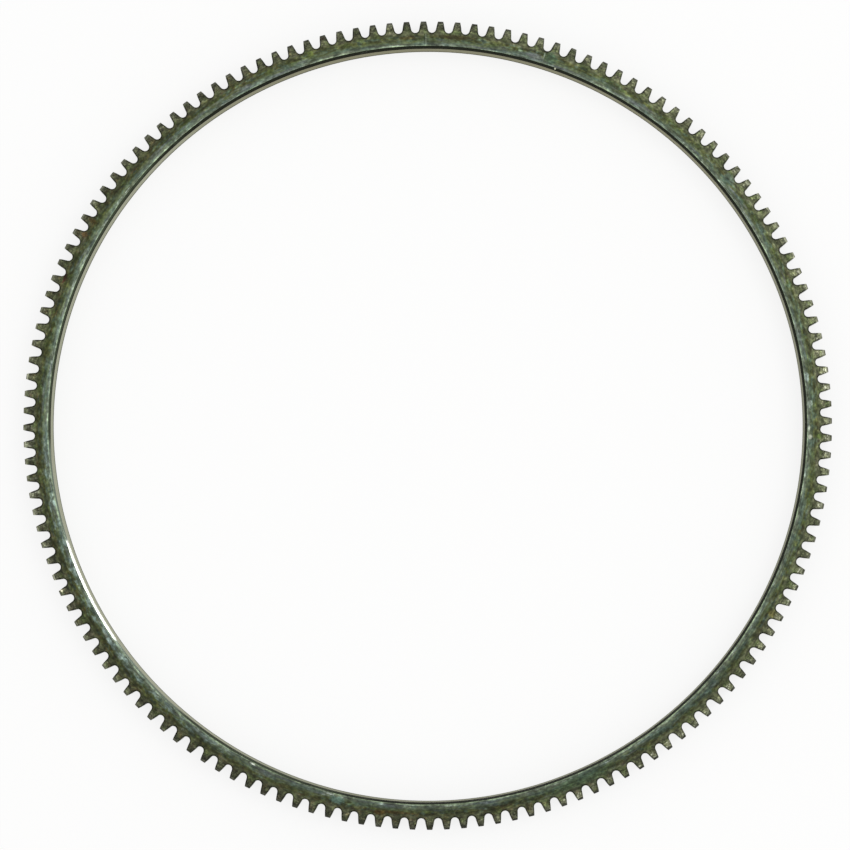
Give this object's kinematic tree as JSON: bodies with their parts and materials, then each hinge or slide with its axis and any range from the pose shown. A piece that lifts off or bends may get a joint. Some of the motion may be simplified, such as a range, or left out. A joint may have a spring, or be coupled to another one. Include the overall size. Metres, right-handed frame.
{
  "type": "flywheel ring gear",
  "caption": "One-piece steel ring gear with external involute starter teeth, a thin rim and a wide chamfered bore that is shrunk onto a flywheel.",
  "frame": {"origin": "centre of the bore at the back face, which lies on the ground plane", "axes": "+Z along the gear's axis, from the back face towards the lead-in side of the teeth; a tooth is centred on +X"},
  "size_m": [0.3174, 0.3174, 0.0127],
  "materials": {
    "steel": "turned, hobbed and induction hardened bare steel with a thin olive and blue-grey oxide"
  },
  "bodies": {
    "root": {"ring_gear": "steel"}
  },
  "joints": []
}
